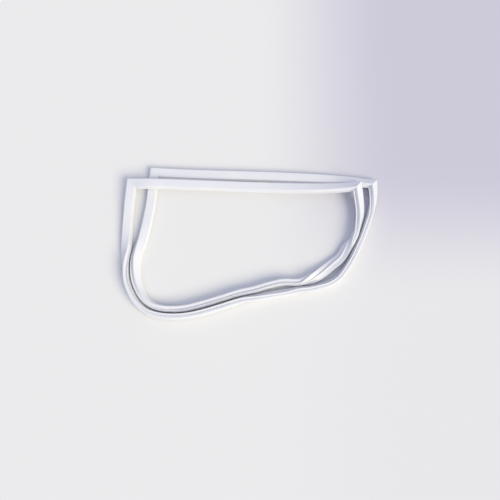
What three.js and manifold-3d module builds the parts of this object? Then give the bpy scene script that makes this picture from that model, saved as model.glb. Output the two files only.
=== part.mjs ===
// Refrigerator door gasket: one welded ring of soft PVC profile with four magnet strips in its
// pocket, lying on a table coiled in two turns. Millimetres, +Z up, short sides along X.
import * as THREE from "three";
import { mergeVertices } from "three/addons/utils/BufferGeometryUtils.js";
import Module from "manifold-3d";

// Door the gasket is made for, measured over the base flange.
const shortSide = 580;
const longSide = 1085;

// Profile of the seal.
const flangeWidth = 26;
const headWidth = 22;
const bodyDepth = 12;
const ribDepth = 3.2;
const flangeThickness = 2.2;
const headDepth = 6.4;
const wall = 1;

// Magnet strip and the air round it in its pocket.
const magnetWidth = 12;
const magnetThickness = 2.6;
const magnetClearance = 0.3;
const magnetSetback = 30;

// Air between two lengths that lie side by side on the table.
const strandGap = 3;

// Turn and twist in degrees from one section of the sweep to the next.
const sectionTurn = 11.5;

// Breather holes punched through the base of the two short sides.
const ventDiameter = 2;
const ventOffset = 4.5;
const ventShare = 0.45;

const middle = bodyDepth / 2;
const lane = bodyDepth + 2 * ribDepth + strandGap;
const rad = THREE.MathUtils.degToRad;

// Outline of the profile: u across the flange, v from its underside up to the sealing face.
function outerOutline() {
  const flange = flangeWidth / 2;
  const head = headWidth / 2;
  const shoulder = bodyDepth - headDepth;
  const fold = (flangeThickness + shoulder) / 2;
  const right = [
    [1, -ribDepth + 0.2],
    [2.3, -ribDepth + 1.6],
    [1.2, -ribDepth + 1.8],
    [1.2, 0],
    [flange - 0.5, 0],
    [flange, 0.9],
    [flange - 0.7, 1.5],
    [head - 2.2, flangeThickness],
    [head - 3.4, fold],
    [head - 1.8, shoulder],
    [head - 0.3, shoulder + 0.5],
    [head, bodyDepth - 2.2],
    [head - 0.6, bodyDepth - 0.7],
    [head - 2, bodyDepth],
  ];
  const left = right.map(([u, v]) => [-u, v]).reverse();
  return [...right, ...left];
}

// Hollow of the bellows, between the flange and the head.
function bellowsOutline() {
  const head = headWidth / 2;
  const floor = flangeThickness - 0.6;
  const roof = bodyDepth - headDepth + 0.4;
  const fold = (flangeThickness + bodyDepth - headDepth) / 2;
  return [
    [-(head - 3.6), floor],
    [head - 3.6, floor],
    [head - 4.6, fold],
    [head - 3.2, roof],
    [-(head - 3.2), roof],
    [-(head - 4.6), fold],
  ];
}

// Pocket that holds the magnet strip under the sealing face.
function pocketOutline() {
  const half = magnetWidth / 2 + magnetClearance;
  const top = bodyDepth - wall;
  const bottom = top - magnetThickness - 2 * magnetClearance;
  return [
    [-half, bottom],
    [half, bottom],
    [half, top],
    [-half, top],
  ];
}

function magnetOutline() {
  const half = magnetWidth / 2;
  const top = bodyDepth - wall - magnetClearance;
  return [
    [-half, top - magnetThickness],
    [half, top - magnetThickness],
    [half, top],
    [-half, top],
  ];
}

// Height of the middle of the body over the table when the profile rests on it, leaning outwards.
function restHeight(lean) {
  const drops = outerOutline().map(
    ([u, v]) => u * Math.sin(lean) - (v - middle) * Math.cos(lean),
  );
  return Math.max(...drops);
}

// Places along each side, going clockwise round the coil: where the middle of the body is,
// how far it is lifted off the table, how far the sealing face leans outwards in degrees, and
// for the strands that lie back to back, how many half lanes it stands outside their shared line.
function place(x, y, lift, lean, out = 0) {
  return { x, y, lift, lean, out };
}

// The top side lies behind, flat at the left and leaning outwards at its right end.
const topSide = [
  place(-240, 180, 0, 0),
  place(-205, 178, 0, 0),
  place(-125, 174.5, 0, 0),
  place(0, 170.8, 0, 0),
  place(125, 165.8, 0, 4),
  place(200, 161, 0, 14),
  place(250, 156.5, 0, 26),
  place(281, 152.5, 0, 35),
  place(307.5, 149.5, 0, 40),
];

// The outer long side turns on edge, runs round the bottom and lies flat again at the left.
const outerSide = [
  place(307.5, 149.5, 0, 40),
  place(307.5, 124, 0, 52),
  place(304.8, 97, 0, 68),
  place(298.5, 68, 0, 84),
  place(285.5, 33, 0, 90),
  place(273, 3, 0, 92),
  place(261.5, -22, 0, 92),
  place(249, -47, 0, 92),
  place(234, -71, 0, 92),
  place(215, -94, 0, 98),
  place(191, -109.4, 0, 100),
  place(143, -110.2, 0, 98, 1.15),
  place(119, -114.4, 0, 100, 0.95),
  place(83.5, -116.8, 0, 112, 1.3),
  place(47.7, -123.7, 0, 110, 1.25),
  place(12, -133, 0, 98, 1.1),
  place(-23.8, -140.5, 0, 88, 1.05),
  place(-71, -155.8, 0, 84, 1.05),
  place(-118.3, -170, 0, 84, 1.05),
  place(-153.5, -177.7, 0, 84, 1),
  place(-189, -179.8, 0, 82, 1),
  place(-219.8, -176.2, 0, 82, 1),
  place(-243, -167, 0, 82, 1.05),
  place(-262, -150, 0, 84, 1.1),
  place(-276, -127, 0, 84, 1.15),
  place(-286, -100, 0, 84, 1.2),
  place(-289.8, -70, 0, 78, 1.25),
  place(-303.4, -45.5, 0, 58),
  place(-303.4, -20, 0, 30),
  place(-303.6, 10, 0, 10),
  place(-302.3, 56, 1, 0),
  place(-299.6, 100, 5, 0),
  place(-295, 148.2, 10, 0),
];

// The bottom side lies in front, over the inner long side at the left and raised at the right.
const bottomSide = [
  place(-295, 148.2, 10, 0),
  place(-270, 147, 15, 0),
  place(-244, 146.2, 17.4, 0),
  place(-210, 145.6, 16.5, 0),
  place(-124, 143, 14, 0),
  place(0, 139, 12, 2),
  place(124, 135.4, 13, 14),
  place(200, 134.6, 15, 26),
  place(240, 135.6, 18, 33),
  place(265, 138, 21, 38),
];

// The inner long side turns on edge and on over its back along the diagonal, runs on edge
// beside the outer one with its face inwards, and comes up flat under the bottom side.
const innerSide = [
  place(265, 138, 21, 38),
  place(268.5, 109, 15, 42),
  place(271, 88, 9, 47),
  place(271.5, 64, 4, 55),
  place(267.5, 41, 1, 68),
  place(261.5, 21, 0, 86),
  place(252, 3, 0, 104),
  place(239.5, -15, 0, 138),
  place(221.5, -43.5, 0, 156),
  place(205, -57.5, 0, 163),
  place(190, -68.5, 0, 174),
  place(166, -85, 0, 194),
  place(143, -110.2, 0, 232, -1.15),
  place(119, -114.4, 0, 262, -0.95),
  place(83.5, -116.8, 0, 268, -1.3),
  place(47.7, -123.7, 0, 270, -1.25),
  place(12, -133, 0, 270, -1.1),
  place(-23.8, -140.5, 0, 270, -1.05),
  place(-71, -155.8, 0, 270, -1.05),
  place(-118.3, -170, 0, 270, -1.05),
  place(-153.5, -177.7, 0, 272, -1),
  place(-189, -179.8, 0, 275, -1),
  place(-219.8, -176.2, 0, 279, -1),
  place(-243, -167, 0, 284, -1.05),
  place(-262, -150, 0, 290, -1.1),
  place(-276, -127, 0, 297, -1.15),
  place(-286, -100, 0, 305, -1.2),
  place(-289.8, -70, 0, 314, -1.25),
  place(-276, -45, 0, 326),
  place(-270.5, -20, 0, 338),
  place(-263.5, 5, 0, 349),
  place(-253.6, 55, 0, 359),
  place(-247.4, 95, 0, 360),
  place(-244, 135, 0, 360),
  place(-240, 180, 0, 360),
];

// Sizes of the coil as it was laid out; other door sizes stretch it in plan.
const laidShort = 580;
const laidTop = 150;

// Middle of the body at one place, with the strands that share a line set apart by the lane.
function centreOf(side, index, reach) {
  const at = side[index];
  const back = side[Math.max(index - 1, 0)];
  const next = side[Math.min(index + 1, side.length - 1)];
  const along = new THREE.Vector2(next.x - back.x, next.y - back.y).normalize();
  const x = at.x - along.y * at.out * (lane / 2);
  const y = at.y + along.x * at.out * (lane / 2);
  const wide = (x * shortSide) / laidShort;
  const deep = laidTop + (y - laidTop) * (y < laidTop - 60 ? reach : 1);
  return new THREE.Vector3(wide, deep, restHeight(rad(at.lean)) + at.lift);
}

// A side as a smooth route with its lean, both read at a share of the way along.
function routeOf(side, reach) {
  const points = side.map((_, index) => centreOf(side, index, reach));
  const path = new THREE.CatmullRomCurve3(points, false, "centripetal");
  const leans = side.map((at) => new THREE.Vector3(at.lean, 0, 0));
  const roll = new THREE.CatmullRomCurve3(leans, false, "catmullrom", 0.5);
  return { path, roll, pieces: side.length - 1 };
}

// One section of the profile: its middle, the way it runs in plan, and the lean of its face.
function sectionAt(route, share) {
  const tangent = route.path.getTangent(share);
  const heading = new THREE.Vector3(tangent.x, tangent.y, 0).normalize();
  const lean = rad(route.roll.getPoint(share).x);
  const outward = new THREE.Vector3(-heading.y, heading.x, 0);
  const up = new THREE.Vector3(0, 0, 1);
  const across = outward.clone().multiplyScalar(Math.cos(lean)).addScaledVector(up, -Math.sin(lean));
  const facing = outward.clone().multiplyScalar(Math.sin(lean)).addScaledVector(up, Math.cos(lean));
  return { centre: route.path.getPoint(share), heading, across, facing, lean };
}

// Where a point of the profile lies on a section; a mitred section shears it into the mitre.
function placed(section, u, v) {
  const offset = section.across
    .clone()
    .multiplyScalar(u)
    .addScaledVector(section.facing, v - middle);
  if (section.mitre) {
    const slide = -offset.dot(section.mitre) / section.heading.dot(section.mitre);
    offset.addScaledVector(section.heading, slide);
  }
  return section.centre.clone().add(offset);
}

// Length of a side along the middle of its base, which is what can't stretch.
function baseLength(route) {
  const steps = route.pieces * 12;
  const line = [];
  for (let i = 0; i <= steps; i += 1) {
    line.push(placed(sectionAt(route, i / steps), 0, 0));
  }
  return line.reduce((sum, point, i) => (i ? sum + point.distanceTo(line[i - 1]) : 0), 0);
}

// How far the coil reaches down the table for its outer long side to have its true length.
function reachFor(length) {
  let low = 0.5;
  let high = 1.8;
  for (let i = 0; i < 30; i += 1) {
    const reach = (low + high) / 2;
    if (baseLength(routeOf(outerSide, reach)) < length) {
      low = reach;
    } else {
      high = reach;
    }
  }
  return (low + high) / 2;
}

// Shares of the way along a side, closer together where it bends or twists.
function sharesFor(route, finest) {
  const steps = route.pieces * 16;
  const effort = [0];
  let last = sectionAt(route, 0);
  for (let i = 1; i <= steps; i += 1) {
    const now = sectionAt(route, i / steps);
    const turn = last.heading.angleTo(now.heading) + Math.abs(now.lean - last.lean) * 0.7;
    effort.push(effort[i - 1] + turn / rad(finest) + now.centre.distanceTo(last.centre) / 75);
    last = now;
  }
  const count = Math.ceil(effort[steps]);
  const shares = [0];
  for (let k = 1; k < count; k += 1) {
    const goal = (effort[steps] * k) / count;
    const i = effort.findIndex((sum) => sum >= goal);
    const part = (goal - effort[i - 1]) / (effort[i] - effort[i - 1]);
    shares.push((i - 1 + part) / steps);
  }
  shares.push(1);
  return shares;
}

// Shares kept at least the setback away from both corners.
function clearOfCorners(route, shares, setback) {
  const start = route.path.getPoint(0);
  const end = route.path.getPoint(1);
  return shares.filter((share) => {
    const point = route.path.getPoint(share);
    return point.distanceTo(start) > setback && point.distanceTo(end) > setback;
  });
}

// Share at a given distance from one end of a side.
function shareAtSetback(route, setback, fromEnd) {
  const corner = route.path.getPoint(fromEnd ? 1 : 0);
  let low = 0;
  let high = 0.5;
  for (let i = 0; i < 30; i += 1) {
    const share = (low + high) / 2;
    const point = route.path.getPoint(fromEnd ? 1 - share : share);
    if (point.distanceTo(corner) < setback) {
      low = share;
    } else {
      high = share;
    }
  }
  return fromEnd ? 1 - low : low;
}

// A welded corner: the last section of one side sheared into the plane halfway to the next side.
function cornerBetween(before, after) {
  const section = sectionAt(before, 1);
  const onward = sectionAt(after, 0);
  section.mitre = section.heading.clone().add(onward.heading).normalize();
  return section;
}

// Sections of one side between its mitres, starting just clear of each.
function sharesOfSide(route) {
  return [
    shareAtSetback(route, flangeWidth * 0.8, false),
    ...clearOfCorners(route, sharesFor(route, sectionTurn), flangeWidth),
    shareAtSetback(route, flangeWidth * 0.8, true),
  ];
}

function ringSections(routes) {
  const sections = [];
  routes.forEach((route, i) => {
    const before = routes[(i + routes.length - 1) % routes.length];
    sections.push(cornerBetween(before, route));
    sharesOfSide(route).forEach((share) => sections.push(sectionAt(route, share)));
  });
  return sections;
}

// The wall a closed outline leaves as it passes through the sections; inward turns its faces.
function wallAlong(outline, sections, inward) {
  const rings = sections.map((section) => outline.map(([u, v]) => placed(section, u, v)));
  const corners = [];
  const quad = (a, b, c, d) => corners.push(...(inward ? [a, d, b, b, d, c] : [a, b, d, b, c, d]));
  for (let i = 0; i < rings.length - 1; i += 1) {
    outline.forEach((_, j) => {
      const k = (j + 1) % outline.length;
      quad(rings[i][j], rings[i][k], rings[i + 1][k], rings[i + 1][j]);
    });
  }
  return corners;
}

// Flat end of a sweep with a convex outline.
function endCap(outline, section, turned) {
  const ring = outline.map(([u, v]) => placed(section, u, v));
  const corners = [];
  for (let j = 1; j < ring.length - 1; j += 1) {
    corners.push(ring[0], ...(turned ? [ring[j], ring[j + 1]] : [ring[j + 1], ring[j]]));
  }
  return corners;
}

function geometryOf(corners) {
  return new THREE.BufferGeometry().setFromPoints(corners);
}

const wasm = await Module();
wasm.setup();

function solidFrom(geometry) {
  const bare = geometry.index ? geometry.toNonIndexed() : geometry.clone();
  bare.deleteAttribute("normal");
  bare.deleteAttribute("uv");
  const merged = mergeVertices(bare, 1e-4);
  return new wasm.Manifold(
    new wasm.Mesh({
      numProp: 3,
      vertProperties: new Float32Array(merged.getAttribute("position").array),
      triVerts: new Uint32Array(merged.index.array),
    }),
  );
}

function geometryFrom(solid) {
  const mesh = solid.getMesh();
  return new THREE.BufferGeometry()
    .setAttribute("position", new THREE.BufferAttribute(new Float32Array(mesh.vertProperties), 3))
    .setIndex(new THREE.BufferAttribute(new Uint32Array(mesh.triVerts), 1));
}

// A breather hole from under the flange into the bellows and on into the magnet pocket.
function ventAt(section) {
  const pocketFloor = bodyDepth - wall - magnetThickness - 2 * magnetClearance;
  const length = pocketFloor + 0.6 + 1;
  const drill = new THREE.CylinderGeometry(ventDiameter / 2, ventDiameter / 2, length, 8);
  const turn = new THREE.Quaternion().setFromUnitVectors(new THREE.Vector3(0, 1, 0), section.facing);
  drill.applyQuaternion(turn);
  const centre = placed(section, ventOffset, length / 2 - 1);
  drill.translate(centre.x, centre.y, centre.z);
  return solidFrom(drill);
}

function sealRing(routes) {
  const sections = ringSections(routes);
  sections.push(sections[0]);
  const skin = wallAlong(outerOutline(), sections, false);
  const bellows = wallAlong(bellowsOutline(), sections, true);
  const pocket = wallAlong(pocketOutline(), sections, true);
  let solid = solidFrom(geometryOf([...skin, ...bellows, ...pocket]));
  const shortRoutes = [routes[0], routes[2]];
  shortRoutes.forEach((route) => {
    solid = solid.subtract(ventAt(sectionAt(route, ventShare)));
  });
  return geometryFrom(solid);
}

function magnetStrip(route) {
  const shares = clearOfCorners(route, sharesOfSide(route), magnetSetback);
  const sections = shares.map((share) => sectionAt(route, share));
  const outline = magnetOutline();
  return geometryOf([
    ...endCap(outline, sections[0], false),
    ...wallAlong(outline, sections, false),
    ...endCap(outline, sections[sections.length - 1], true),
  ]);
}

const reach = reachFor(longSide - flangeWidth);
const routes = [topSide, outerSide, bottomSide, innerSide].map((side) => routeOf(side, reach));

const softPvc = new THREE.MeshStandardMaterial({ color: 0xf2f4f7, roughness: 0.45 });
const magnetRubber = new THREE.MeshStandardMaterial({ color: 0x3a3230, roughness: 0.8 });

const gasket = new THREE.Group();
gasket.name = "door_gasket";

function addPiece(name, geometry, material) {
  const mesh = new THREE.Mesh(geometry, material);
  mesh.name = name;
  gasket.add(mesh);
}

addPiece("seal_ring", sealRing(routes), softPvc);
addPiece("magnet_top", magnetStrip(routes[0]), magnetRubber);
addPiece("magnet_left", magnetStrip(routes[1]), magnetRubber);
addPiece("magnet_bottom", magnetStrip(routes[2]), magnetRubber);
addPiece("magnet_right", magnetStrip(routes[3]), magnetRubber);

// The coil stands on z = 0 with the middle of its outline over the origin.
const outlineBox = new THREE.Box3().setFromObject(gasket.getObjectByName("seal_ring"));
const middleOfCoil = outlineBox.getCenter(new THREE.Vector3()).setZ(outlineBox.min.z);
gasket.children.forEach((mesh) => mesh.position.sub(middleOfCoil));

export default gasket;
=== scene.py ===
import math

import bmesh
import bpy
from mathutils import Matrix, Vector


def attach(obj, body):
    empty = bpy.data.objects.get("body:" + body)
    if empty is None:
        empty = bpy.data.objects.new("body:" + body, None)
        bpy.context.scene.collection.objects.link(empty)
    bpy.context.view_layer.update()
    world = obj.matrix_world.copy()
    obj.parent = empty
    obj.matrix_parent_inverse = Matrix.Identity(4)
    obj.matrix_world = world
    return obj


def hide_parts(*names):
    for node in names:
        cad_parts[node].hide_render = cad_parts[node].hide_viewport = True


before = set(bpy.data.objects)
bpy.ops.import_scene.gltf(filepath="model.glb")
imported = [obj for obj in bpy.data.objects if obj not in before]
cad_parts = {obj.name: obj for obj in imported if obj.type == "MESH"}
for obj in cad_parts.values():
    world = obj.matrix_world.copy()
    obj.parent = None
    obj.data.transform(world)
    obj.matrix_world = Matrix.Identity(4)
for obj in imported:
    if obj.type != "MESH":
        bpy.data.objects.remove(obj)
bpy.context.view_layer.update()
print("frame loaded:", ", ".join(sorted(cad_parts)))

mm = 0.001


def srgb(hexColour):
    channels = []
    for i in (1, 3, 5):
        c = int(hexColour[i:i + 2], 16) / 255
        channels.append(c / 12.92 if c <= 0.04045 else ((c + 0.055) / 1.055) ** 2.4)
    return (*channels, 1.0)


def addNode(tree, kind, inputs=None, **settings):
    node = tree.nodes.new(kind)
    for name, value in settings.items():
        setattr(node, name, value)
    for key, value in (inputs or {}).items():
        socket = node.inputs[key]
        if isinstance(value, bpy.types.NodeSocket):
            tree.links.new(value, socket)
        else:
            socket.default_value = value
    return node


def mixColours(tree, factor, first, second):
    # A Mix node's colour sockets have no names of their own: 6 and 7 go in, 2 comes out.
    node = addNode(tree, "ShaderNodeMix", {"Factor": factor, 6: first, 7: second}, data_type="RGBA")
    return node.outputs[2]


def newMaterial(name):
    material = bpy.data.materials.new(name)
    material.use_nodes = True
    tree = material.node_tree
    tree.nodes.clear()
    output = addNode(tree, "ShaderNodeOutputMaterial")
    return material, tree, output


def extrudedSoftPvc():
    # Plasticised PVC, drawn hot through a die: a milky satin white with faint lines along its length.
    pvc = {
        "white": "#F0F0F2",
        "shade": "#E5E7ED",      # plasticiser that has bloomed to the surface, slightly bluer
        "weld": "#E2E4EA",
        "dieLine": 0.45,         # mm between the fine lines that the die leaves
        "dieLineDepth": 0.08,    # mm
        "stretch": 0.004,        # noise steps per mm along the length, so that a line runs on unbroken
        "patch": 38.0,           # mm across a cloudy patch
        "glossiest": 0.33,       # roughness where the surface is clean
        "dullest": 0.46,         # and where it has bloomed
        "ior": 1.53,
    }
    material, tree, output = newMaterial("extruded_soft_pvc")
    place = addNode(tree, "ShaderNodeUVMap", uv_map="alongProfile")
    lines = addNode(tree, "ShaderNodeMapping", {
        "Vector": place.outputs["UV"], "Scale": (1 / pvc["dieLine"], pvc["stretch"], 1),
    })
    dieLines = addNode(tree, "ShaderNodeTexNoise", {
        "Vector": lines.outputs["Vector"], "Scale": 1.0, "Detail": 2.0,
    })
    spot = addNode(tree, "ShaderNodeTexCoord")
    cloud = addNode(tree, "ShaderNodeTexNoise", {
        "Vector": spot.outputs["Object"], "Scale": 1 / (pvc["patch"] * mm), "Detail": 3.0,
    })
    weld = addNode(tree, "ShaderNodeAttribute", attribute_name="weld")
    mottled = mixColours(tree, cloud.outputs["Fac"], srgb(pvc["white"]), srgb(pvc["shade"]))
    rough = addNode(tree, "ShaderNodeMapRange", {
        "Value": cloud.outputs["Fac"], "To Min": pvc["glossiest"], "To Max": pvc["dullest"],
    })
    relief = addNode(tree, "ShaderNodeBump", {
        "Strength": 0.12, "Distance": pvc["dieLineDepth"] * mm, "Height": dieLines.outputs["Fac"],
    })
    shader = addNode(tree, "ShaderNodeBsdfPrincipled", {
        "Base Color": mixColours(tree, weld.outputs["Fac"], mottled, srgb(pvc["weld"])),
        "Roughness": rough.outputs["Result"], "Normal": relief.outputs["Normal"],
        "IOR": pvc["ior"], "Specular IOR Level": 0.45,
    })
    tree.links.new(shader.outputs["BSDF"], output.inputs["Surface"])
    return material


def magnetRubber():
    # Ferrite powder in nitrile rubber, calendered into strip: a dull dark brown with a fine grain.
    strip = {
        "dark": "#3B3330",
        "light": "#4C423D",
        "grain": 0.6,            # mm across a grain
        "grainDepth": 0.05,      # mm
        "roughness": 0.72,
    }
    material, tree, output = newMaterial("ferrite_filled_rubber")
    spot = addNode(tree, "ShaderNodeTexCoord")
    grain = addNode(tree, "ShaderNodeTexNoise", {
        "Vector": spot.outputs["Object"], "Scale": 1 / (strip["grain"] * mm), "Detail": 2.0,
    })
    relief = addNode(tree, "ShaderNodeBump", {
        "Strength": 0.2, "Distance": strip["grainDepth"] * mm, "Height": grain.outputs["Fac"],
    })
    shader = addNode(tree, "ShaderNodeBsdfPrincipled", {
        "Base Color": mixColours(tree, grain.outputs["Fac"], srgb(strip["dark"]), srgb(strip["light"])),
        "Normal": relief.outputs["Normal"], "Roughness": strip["roughness"], "IOR": 1.5,
    })
    tree.links.new(shader.outputs["BSDF"], output.inputs["Surface"])
    return material


softPvc = extrudedSoftPvc()
magnetStrip = magnetRubber()
print("materials made")


# The seal, in mm, with the sizes and the route of the solid that it stands in for.
ring = {
    "flangeWidth": 26.0,
    "headWidth": 22.0,
    "bodyDepth": 12.0,
    "ribDepth": 3.2,
    "flangeThickness": 2.2,
    "headDepth": 6.4,
    "wall": 1.0,
    "magnetWidth": 12.0,
    "magnetThickness": 2.6,
    "magnetClearance": 0.3,
    "strandGap": 3.0,
    "reach": 0.97675,            # how far the coil is drawn out towards the front
    "reachFrom": (150.0, 90.0),  # y that stays put, and y where the drawing out starts
    "step": 7.0,                 # between sections
    "cornerSteps": 4,            # points round each rounded edge of the profile
    "weldWidth": 1.1,
    "weldDepth": 0.22,
    "weldReach": 0.8,            # how far the mitre's shear runs on each side, in flange widths
    "sharpFrom": 38.0,           # degrees between faces that meet in a crisp edge
    "middle": (1.5911, 2.1323, -0.42096),
}
middleDepth = ring["bodyDepth"] / 2
lane = ring["bodyDepth"] + 2 * ring["ribDepth"] + ring["strandGap"]

# At each station: x and y of the middle of the body, its lift off the table, how many degrees the
# sealing face leans outwards, and how many half lanes it stands outside its neighbour's line.
topSide = [
    (-240, 180, 0, 0, 0), (-205, 178, 0, 0, 0), (-125, 174.5, 0, 0, 0), (0, 170.8, 0, 0, 0),
    (125, 165.8, 0, 4, 0), (200, 161, 0, 14, 0), (250, 156.5, 0, 26, 0), (281, 152.5, 0, 35, 0),
    (307.5, 149.5, 0, 40, 0),
]
outerSide = [
    (307.5, 149.5, 0, 40, 0), (307.5, 124, 0, 52, 0), (304.8, 97, 0, 68, 0), (298.5, 68, 0, 84, 0),
    (285.5, 33, 0, 90, 0), (273, 3, 0, 92, 0), (261.5, -22, 0, 92, 0), (249, -47, 0, 92, 0),
    (234, -71, 0, 92, 0), (215, -94, 0, 98, 0), (191, -109.4, 0, 100, 0), (143, -110.2, 0, 98, 1.15),
    (119, -114.4, 0, 100, 0.95), (83.5, -116.8, 0, 112, 1.3), (47.7, -123.7, 0, 110, 1.25),
    (12, -133, 0, 98, 1.1), (-23.8, -140.5, 0, 88, 1.05), (-71, -155.8, 0, 84, 1.05),
    (-118.3, -170, 0, 84, 1.05), (-153.5, -177.7, 0, 84, 1), (-189, -179.8, 0, 82, 1),
    (-219.8, -176.2, 0, 82, 1), (-243, -167, 0, 82, 1.05), (-262, -150, 0, 84, 1.1),
    (-276, -127, 0, 84, 1.15), (-286, -100, 0, 84, 1.2), (-289.8, -70, 0, 78, 1.25),
    (-303.4, -45.5, 0, 58, 0), (-303.4, -20, 0, 30, 0), (-303.6, 10, 0, 10, 0), (-302.3, 56, 1, 0, 0),
    (-299.6, 100, 5, 0, 0), (-295, 148.2, 10, 0, 0),
]
bottomSide = [
    (-295, 148.2, 10, 0, 0), (-270, 147, 15, 0, 0), (-244, 146.2, 17.4, 0, 0), (-210, 145.6, 16.5, 0, 0),
    (-124, 143, 14, 0, 0), (0, 139, 12, 2, 0), (124, 135.4, 13, 14, 0), (200, 134.6, 15, 26, 0),
    (240, 135.6, 18, 33, 0), (265, 138, 21, 38, 0),
]
innerSide = [
    (265, 138, 21, 38, 0), (268.5, 109, 15, 42, 0), (271, 88, 9, 47, 0), (271.5, 64, 4, 55, 0),
    (267.5, 41, 1, 68, 0), (261.5, 21, 0, 86, 0), (252, 3, 0, 104, 0), (239.5, -15, 0, 138, 0),
    (221.5, -43.5, 0, 156, 0), (205, -57.5, 0, 163, 0), (190, -68.5, 0, 174, 0), (166, -85, 0, 194, 0),
    (143, -110.2, 0, 232, -1.15), (119, -114.4, 0, 262, -0.95), (83.5, -116.8, 0, 268, -1.3),
    (47.7, -123.7, 0, 270, -1.25), (12, -133, 0, 270, -1.1), (-23.8, -140.5, 0, 270, -1.05),
    (-71, -155.8, 0, 270, -1.05), (-118.3, -170, 0, 270, -1.05), (-153.5, -177.7, 0, 272, -1),
    (-189, -179.8, 0, 275, -1), (-219.8, -176.2, 0, 279, -1), (-243, -167, 0, 284, -1.05),
    (-262, -150, 0, 290, -1.1), (-276, -127, 0, 297, -1.15), (-286, -100, 0, 305, -1.2),
    (-289.8, -70, 0, 314, -1.25), (-276, -45, 0, 326, 0), (-270.5, -20, 0, 338, 0),
    (-263.5, 5, 0, 349, 0), (-253.6, 55, 0, 359, 0), (-247.4, 95, 0, 360, 0), (-244, 135, 0, 360, 0),
    (-240, 180, 0, 360, 0),
]


def plainOutline():
    # Right half of the profile with its sharp corners, as the solid has it: it rests on these.
    flange = ring["flangeWidth"] / 2
    head = ring["headWidth"] / 2
    depth = ring["bodyDepth"]
    shoulder = depth - ring["headDepth"]
    fold = (ring["flangeThickness"] + shoulder) / 2
    rib = ring["ribDepth"]
    return [
        (1, -rib + 0.2, 0.5), (2.3, -rib + 1.6, 0.25), (1.2, -rib + 1.8, 0.1), (1.2, 0, 0.3),
        (flange - 0.5, 0, 0.3), (flange, 0.9, 0.4), (flange - 0.7, 1.5, 0.3),
        (head - 2.2, ring["flangeThickness"], 0.6), (head - 3.4, fold, 0.7), (head - 1.8, shoulder, 0.5),
        (head - 0.3, shoulder + 0.5, 0.5), (head, depth - 2.2, 0.9), (head - 0.6, depth - 0.7, 0.6),
        (head - 2, depth, 0.9),
    ]


def mirrored(right):
    return right + [(-u, v, r) for u, v, r in reversed(right)]


def roundedOutline(corners, steps):
    # Each corner gives way to an arc of its own radius.
    points = []
    count = len(corners)
    for i, (u, v, radius) in enumerate(corners):
        here = Vector((u, v))
        back = Vector(corners[i - 1][:2]) - here
        onward = Vector(corners[(i + 1) % count][:2]) - here
        if radius <= 0 or steps < 2:
            points.append((u, v))
            continue
        half = back.angle(onward) / 2
        cut = min(radius / math.tan(half), back.length * 0.48, onward.length * 0.48)  # arcs never meet
        start = here + back.normalized() * cut
        end = here + onward.normalized() * cut
        for k in range(steps):
            t = k / (steps - 1)
            bend = start * (1 - t) ** 2 + here * 2 * t * (1 - t) + end * t ** 2
            points.append((bend.x, bend.y))
    return points


def bellowsOutline():
    head = ring["headWidth"] / 2
    shoulder = ring["bodyDepth"] - ring["headDepth"]
    floor = ring["flangeThickness"] - 0.6
    fold = (ring["flangeThickness"] + shoulder) / 2
    return [
        (-(head - 3.6), floor), (head - 3.6, floor), (head - 4.6, fold), (head - 3.2, shoulder + 0.4),
        (-(head - 3.2), shoulder + 0.4), (-(head - 4.6), fold),
    ]


def pocketOutline():
    half = ring["magnetWidth"] / 2 + ring["magnetClearance"]
    top = ring["bodyDepth"] - ring["wall"]
    bottom = top - ring["magnetThickness"] - 2 * ring["magnetClearance"]
    return [(-half, bottom), (half, bottom), (half, top), (-half, top)]


restingCorners = mirrored(plainOutline())


def restHeight(lean):
    return max(u * math.sin(lean) - (v - middleDepth) * math.cos(lean) for u, v, _ in restingCorners)


def centreOf(side, index):
    x, y, lift, lean, out = side[index]
    back = side[max(index - 1, 0)]
    onward = side[min(index + 1, len(side) - 1)]
    along = Vector((onward[0] - back[0], onward[1] - back[1])).normalized()
    x -= along.y * out * lane / 2
    y += along.x * out * lane / 2
    start, fadesBy = ring["reachFrom"]
    if y < fadesBy:
        y = start + (y - start) * ring["reach"]
    return Vector((x, y, restHeight(math.radians(lean)) + lift))


def curvePoint(points, share, centripetal):
    last = len(points) - 1
    at = min(max(share, 0.0), 1.0) * last
    i = min(int(at), last - 1)
    t = at - i
    p1, p2 = points[i], points[i + 1]
    p0 = points[i - 1] if i > 0 else p1 * 2 - p2
    p3 = points[i + 2] if i + 2 <= last else p2 * 2 - p1
    if centripetal:
        d0 = max((p1 - p0).length, 1e-6) ** 0.5
        d1 = max((p2 - p1).length, 1e-6) ** 0.5
        d2 = max((p3 - p2).length, 1e-6) ** 0.5
        t1 = ((p1 - p0) / d0 - (p2 - p0) / (d0 + d1) + (p2 - p1) / d1) * d1
        t2 = ((p2 - p1) / d1 - (p3 - p1) / (d1 + d2) + (p3 - p2) / d2) * d1
    else:
        t1 = (p2 - p0) / 2
        t2 = (p3 - p1) / 2
    return p1 + t1 * t + (-p1 * 3 + p2 * 3 - t1 * 2 - t2) * t ** 2 + (p1 * 2 - p2 * 2 + t1 + t2) * t ** 3


def routeOf(side):
    centres = [centreOf(side, i) for i in range(len(side))]
    leans = [Vector((at[3], 0, 0)) for at in side]
    return centres, leans


def sectionAt(route, share):
    centres, leans = route
    tangent = curvePoint(centres, share + 1e-4, True) - curvePoint(centres, share - 1e-4, True)
    heading = Vector((tangent.x, tangent.y, 0)).normalized()
    lean = math.radians(curvePoint(leans, share, False).x)
    outward = Vector((-heading.y, heading.x, 0))
    up = Vector((0, 0, 1))
    return {
        "centre": curvePoint(centres, share, True),
        "heading": heading,
        "across": outward * math.cos(lean) - up * math.sin(lean),
        "facing": outward * math.sin(lean) + up * math.cos(lean),
    }


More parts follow.
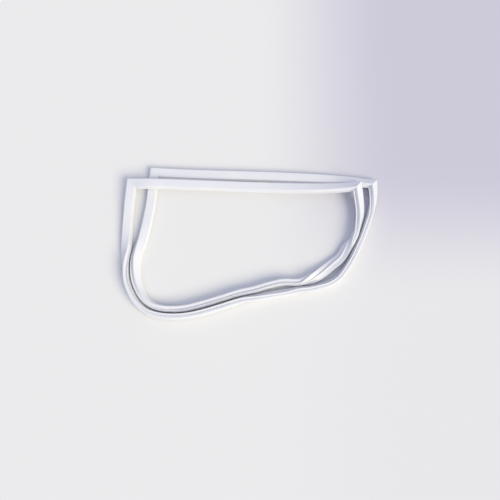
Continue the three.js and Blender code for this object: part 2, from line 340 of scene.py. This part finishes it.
def ringOfPoints(section, outline, mitre=None, swell=0.0):
    points = []
    for u, v in outline:
        if swell:
            reachOut = Vector((u, v - middleDepth))
            reachOut *= 1 + swell / max(reachOut.length, 1)
            u, v = reachOut.x, reachOut.y + middleDepth
        offset = section["across"] * u + section["facing"] * (v - middleDepth)
        if mitre:
            offset -= section["heading"] * (offset.dot(mitre) / section["heading"].dot(mitre))
        points.append(section["centre"] + offset)
    return points


def evenShares(route, setback):
    # Places along a side that lie equally far apart, as shares of its stations.
    centres, _ = route
    fine = (len(centres) - 1) * 24
    sums = [0.0]
    last = curvePoint(centres, 0, True)
    for i in range(1, fine + 1):
        here = curvePoint(centres, i / fine, True)
        sums.append(sums[-1] + (here - last).length)
        last = here
    total = sums[-1]
    count = math.ceil((total - 2 * setback) / ring["step"])
    shares = []
    i = 0
    for k in range(count + 1):
        goal = setback + (total - 2 * setback) * k / count
        while sums[i + 1] < goal and i < fine - 1:
            i += 1
        shares.append((i + (goal - sums[i]) / (sums[i + 1] - sums[i])) / fine)
    return shares


def loftOf(outline, weldDepth):
    # Rings of points all the way round, with the four mitred welds between the sides.
    routes = [routeOf(side) for side in (topSide, outerSide, bottomSide, innerSide)]
    setback = ring["flangeWidth"] * ring["weldReach"]
    rings, welds, corners = [], [], []
    for i, route in enumerate(routes):
        before = routes[i - 1]
        section = sectionAt(before, 1.0)
        mitre = (section["heading"] + sectionAt(route, 0.0)["heading"]).normalized()
        sunk = ringOfPoints(section, outline, mitre, -weldDepth)
        corners.append((ringOfPoints(section, outline, mitre), sunk))
    nearWeld = [ring["weldWidth"] / 2 / setback, 0.1, 0.35, 0.7]  # from the weld to the first full section
    for i, route in enumerate(routes):
        body = [ringOfPoints(sectionAt(route, share), outline) for share in evenShares(route, setback)]
        full, sunk = corners[i]
        following = corners[(i + 1) % 4][0]
        rings.append(sunk)
        welds.append(1.0)
        for f in nearWeld:
            rings.append([a.lerp(b, f) for a, b in zip(full, body[0])])
            welds.append(0.35 if f == nearWeld[0] else 0.0)
        rings.extend(body)
        welds.extend([0.0] * len(body))
        for f in reversed(nearWeld):
            rings.append([a.lerp(b, f) for a, b in zip(following, body[-1])])
            welds.append(0.35 if f == nearWeld[0] else 0.0)
    return rings, welds


def addTube(mesh, rings, welds, outline, inward):
    uv = mesh.loops.layers.uv.get("alongProfile") or mesh.loops.layers.uv.new("alongProfile")
    weldLayer = mesh.verts.layers.float.get("weld") or mesh.verts.layers.float.new("weld")
    shift = Vector(ring["middle"])
    rows = []
    for points, weld in zip(rings, welds):
        row = [mesh.verts.new((p - shift) * mm) for p in points]
        for v in row:
            v[weldLayer] = weld
        rows.append(row)
    across = [0.0]
    for k, (u, v) in enumerate(outline):
        nu, nv = outline[(k + 1) % len(outline)]
        across.append(across[-1] + math.hypot(nu - u, nv - v))
    along = 0.0
    count = len(outline)
    for i, row in enumerate(rows):
        following = rows[(i + 1) % len(rows)]
        length = (rings[(i + 1) % len(rings)][0] - rings[i][0]).length
        for j in range(count):
            k = (j + 1) % count
            corners = [
                (row[j], across[j], along),
                (row[k], across[j + 1], along),
                (following[k], across[j + 1], along + length),
                (following[j], across[j], along + length),
            ]
            if inward:
                corners.reverse()
            face = mesh.faces.new([c[0] for c in corners])
            face.smooth = True
            for loop, (_, a, b) in zip(face.loops, corners):
                loop[uv].uv = (a, b)
        along += length


def makeSealRing():
    outline = roundedOutline(mirrored(plainOutline()), ring["cornerSteps"])
    mesh = bmesh.new()
    rings, welds = loftOf(outline, ring["weldDepth"])
    addTube(mesh, rings, welds, outline, False)
    for inner in (bellowsOutline(), pocketOutline()):
        innerRings, innerWelds = loftOf(inner, 0.0)
        addTube(mesh, innerRings, innerWelds, inner, True)
    data = bpy.data.meshes.new("soft_seal_ring")
    mesh.to_mesh(data)
    mesh.free()
    data.set_sharp_from_angle(angle=math.radians(ring["sharpFrom"]))
    piece = bpy.data.objects.new("soft_seal_ring", data)
    bpy.context.collection.objects.link(piece)
    data.materials.append(softPvc)
    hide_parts("seal_ring")
    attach(piece, "root")
    return piece


sealRing = makeSealRing()
print("seal ring:", len(sealRing.data.vertices), "vertices,", len(sealRing.data.polygons), "faces")


for name in ("magnet_top", "magnet_left", "magnet_bottom", "magnet_right"):
    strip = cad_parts[name]
    strip.data.materials.clear()
    strip.data.materials.append(magnetStrip)
print("magnet strips finished")


studio = {
    "floor": "#ECECEB",
    "paintedFloorShade": "#CECCD9",     # painted shade: lavender, deepening on the floor towards the right and the back
    "floorSize": 6.0,            # m
    "floorDrop": 0.2,            # mm under the seal
    "backdrop": "#ECECEE",
    "sunStrength": 2.32,
    "sunColour": "#FFF6D8",
    "sunSoftness": 36.0,         # degrees across, a large soft box
    "sunFrom": (0.62, -0.50, 0.66),
    "worldColour": "#D9DFF6",
    "worldLight": 0.75,
    "aim": (-0.0016, -0.0191, 0.0004),
    "elevation": 79.0,
    "distance": 1.35,
    "lens": 39.46,
    "sensor": 36.0,
}


def makeFloor():
    # Matt background paper: it takes soft shadows and gives no shine. Its colour also carries a painted
    # lavender shade that deepens towards the right and the back.
    material, tree, output = newMaterial("matte_paper_backdrop")
    spot = addNode(tree, "ShaderNodeTexCoord")
    apart = addNode(tree, "ShaderNodeSeparateXYZ", {"Vector": spot.outputs["Object"]})
    toRight = addNode(tree, "ShaderNodeMapRange", {
        "Value": apart.outputs["X"], "From Min": 0.0, "From Max": 0.38,
    }, interpolation_type="SMOOTHSTEP")
    toBack = addNode(tree, "ShaderNodeMapRange", {
        "Value": apart.outputs["Y"], "From Min": -0.15, "From Max": 0.2, "To Min": 0.1, "To Max": 1.0,
    }, interpolation_type="SMOOTHSTEP")
    # Painted shade: how much of the lavender shade each spot of floor gets, more to the right and further
    # back.
    paintedShadeMask = addNode(tree, "ShaderNodeMath", {
        0: toRight.outputs["Result"], 1: toBack.outputs["Result"],
    }, operation="MULTIPLY")
    shader = addNode(tree, "ShaderNodeBsdfPrincipled", {
        "Base Color": mixColours(tree, paintedShadeMask.outputs[0], srgb(studio["floor"]), srgb(studio["paintedFloorShade"])),
        "Roughness": 0.9, "Specular IOR Level": 0.1,
    })
    tree.links.new(shader.outputs["BSDF"], output.inputs["Surface"])
    mesh = bmesh.new()
    bmesh.ops.create_grid(mesh, x_segments=1, y_segments=1, size=studio["floorSize"] / 2)
    data = bpy.data.meshes.new("floor")
    mesh.to_mesh(data)
    mesh.free()
    floor = bpy.data.objects.new("floor", data)
    floor.location.z = -studio["floorDrop"] * mm
    data.materials.append(material)
    bpy.context.collection.objects.link(floor)


def makeLights():
    lamp = bpy.data.lights.new("soft_box", "SUN")
    lamp.energy = studio["sunStrength"]
    lamp.color = srgb(studio["sunColour"])[:3]
    lamp.angle = math.radians(studio["sunSoftness"])
    key = bpy.data.objects.new("soft_box", lamp)
    key.location = studio["sunFrom"]
    key.rotation_euler = Vector(studio["sunFrom"]).to_track_quat("Z", "Y").to_euler()
    bpy.context.collection.objects.link(key)
    world = bpy.data.worlds.new("pale_room")
    world.use_nodes = True
    tree = world.node_tree
    tree.nodes.clear()
    output = addNode(tree, "ShaderNodeOutputWorld")
    light = addNode(tree, "ShaderNodeBackground", {
        "Color": srgb(studio["worldColour"]), "Strength": studio["worldLight"],
    })
    seen = addNode(tree, "ShaderNodeBackground", {"Color": srgb(studio["backdrop"]), "Strength": 1.0})
    path = addNode(tree, "ShaderNodeLightPath")
    mixed = addNode(tree, "ShaderNodeMixShader", {
        0: path.outputs["Is Camera Ray"], 1: light.outputs[0], 2: seen.outputs[0],
    })
    tree.links.new(mixed.outputs[0], output.inputs["Surface"])
    bpy.context.scene.world = world


def makeCamera():
    camera = bpy.data.cameras.new("photo_camera")
    camera.lens = studio["lens"]
    camera.sensor_width = studio["sensor"]
    camera.clip_end = 20.0
    eye = bpy.data.objects.new("photo_camera", camera)
    tilt = math.radians(studio["elevation"])
    towardsEye = Vector((0, -math.cos(tilt), math.sin(tilt)))
    eye.location = Vector(studio["aim"]) + towardsEye * studio["distance"]
    eye.rotation_euler = (math.pi / 2 - tilt, 0, 0)
    bpy.context.collection.objects.link(eye)
    bpy.context.scene.camera = eye


makeFloor()
makeLights()
makeCamera()
bpy.context.scene.view_settings.view_transform = "Standard"
print("studio ready")
